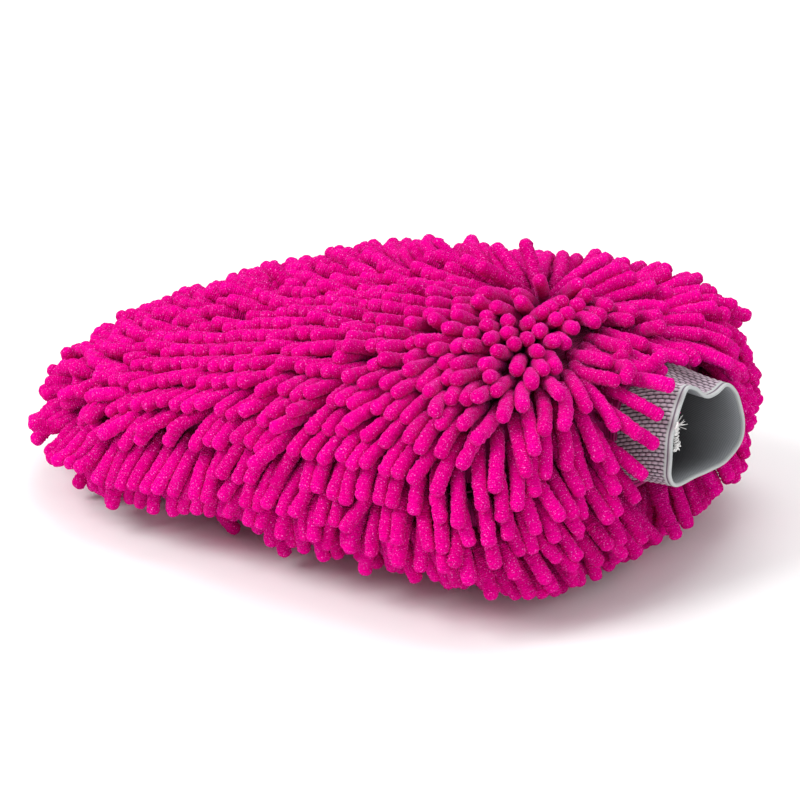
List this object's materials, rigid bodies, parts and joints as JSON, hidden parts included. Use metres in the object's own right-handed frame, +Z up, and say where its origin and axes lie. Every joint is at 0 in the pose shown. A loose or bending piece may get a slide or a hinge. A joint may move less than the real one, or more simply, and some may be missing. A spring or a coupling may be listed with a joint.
{
  "type": "wash mitt",
  "caption": "Puffy chenille wash mitt: a sewn pocket covered on both faces with rows of round-ended noodles, with an elastic knitted cuff.",
  "frame": {"origin": "bottom centre of the mitt as it lies on its lower face", "axes": "+X from the finger end to the cuff, +Y across the width, +Z up"},
  "size_m": [0.272, 0.204, 0.1049],
  "materials": {
    "chenille_pile": "matte",
    "backing_knit": "matte",
    "lining_cloth": "matte",
    "elastic_knit": "matte",
    "overlock_thread": "matte",
    "sewing_thread": "matte"
  },
  "bodies": {
    "root": {"cuff_seam_overlock": "overlock_thread", "cuff_stitching": "sewing_thread", "elastic_cuff": "elastic_knit", "lower_backing": "backing_knit", "lower_lining": "lining_cloth", "lower_noodle_edge_row": "chenille_pile", "lower_noodle_row_01": "chenille_pile", "lower_noodle_row_02": "chenille_pile", "lower_noodle_row_03": "chenille_pile", "lower_noodle_row_04": "chenille_pile", "lower_noodle_row_05": "chenille_pile", "lower_noodle_row_06": "chenille_pile", "lower_noodle_row_07": "chenille_pile", "lower_noodle_row_08": "chenille_pile", "lower_noodle_row_09": "chenille_pile", "lower_noodle_row_10": "chenille_pile", "lower_noodle_row_11": "chenille_pile", "lower_noodle_row_12": "chenille_pile", "lower_noodle_row_13": "chenille_pile", "lower_noodle_row_14": "chenille_pile", "lower_noodle_row_15": "chenille_pile", "lower_noodle_row_16": "chenille_pile", "lower_noodle_row_17": "chenille_pile", "lower_noodle_row_18": "chenille_pile", "lower_noodle_row_19": "chenille_pile", "lower_noodle_row_20": "chenille_pile", "lower_noodle_row_21": "chenille_pile", "lower_noodle_row_22": "chenille_pile", "side_seam_stitching": "sewing_thread", "upper_backing": "backing_knit", "upper_lining": "lining_cloth", "upper_noodle_edge_row": "chenille_pile", "upper_noodle_row_01": "chenille_pile", "upper_noodle_row_02": "chenille_pile", "upper_noodle_row_03": "chenille_pile", "upper_noodle_row_04": "chenille_pile", "upper_noodle_row_05": "chenille_pile", "upper_noodle_row_06": "chenille_pile", "upper_noodle_row_07": "chenille_pile", "upper_noodle_row_08": "chenille_pile", "upper_noodle_row_09": "chenille_pile", "upper_noodle_row_10": "chenille_pile", "upper_noodle_row_11": "chenille_pile", "upper_noodle_row_12": "chenille_pile", "upper_noodle_row_13": "chenille_pile", "upper_noodle_row_14": "chenille_pile", "upper_noodle_row_15": "chenille_pile", "upper_noodle_row_16": "chenille_pile", "upper_noodle_row_17": "chenille_pile", "upper_noodle_row_18": "chenille_pile", "upper_noodle_row_19": "chenille_pile", "upper_noodle_row_20": "chenille_pile", "upper_noodle_row_21": "chenille_pile", "upper_noodle_row_22": "chenille_pile", "upper_noodle_row_23": "chenille_pile", "upper_noodle_row_24": "chenille_pile"}
  },
  "joints": []
}
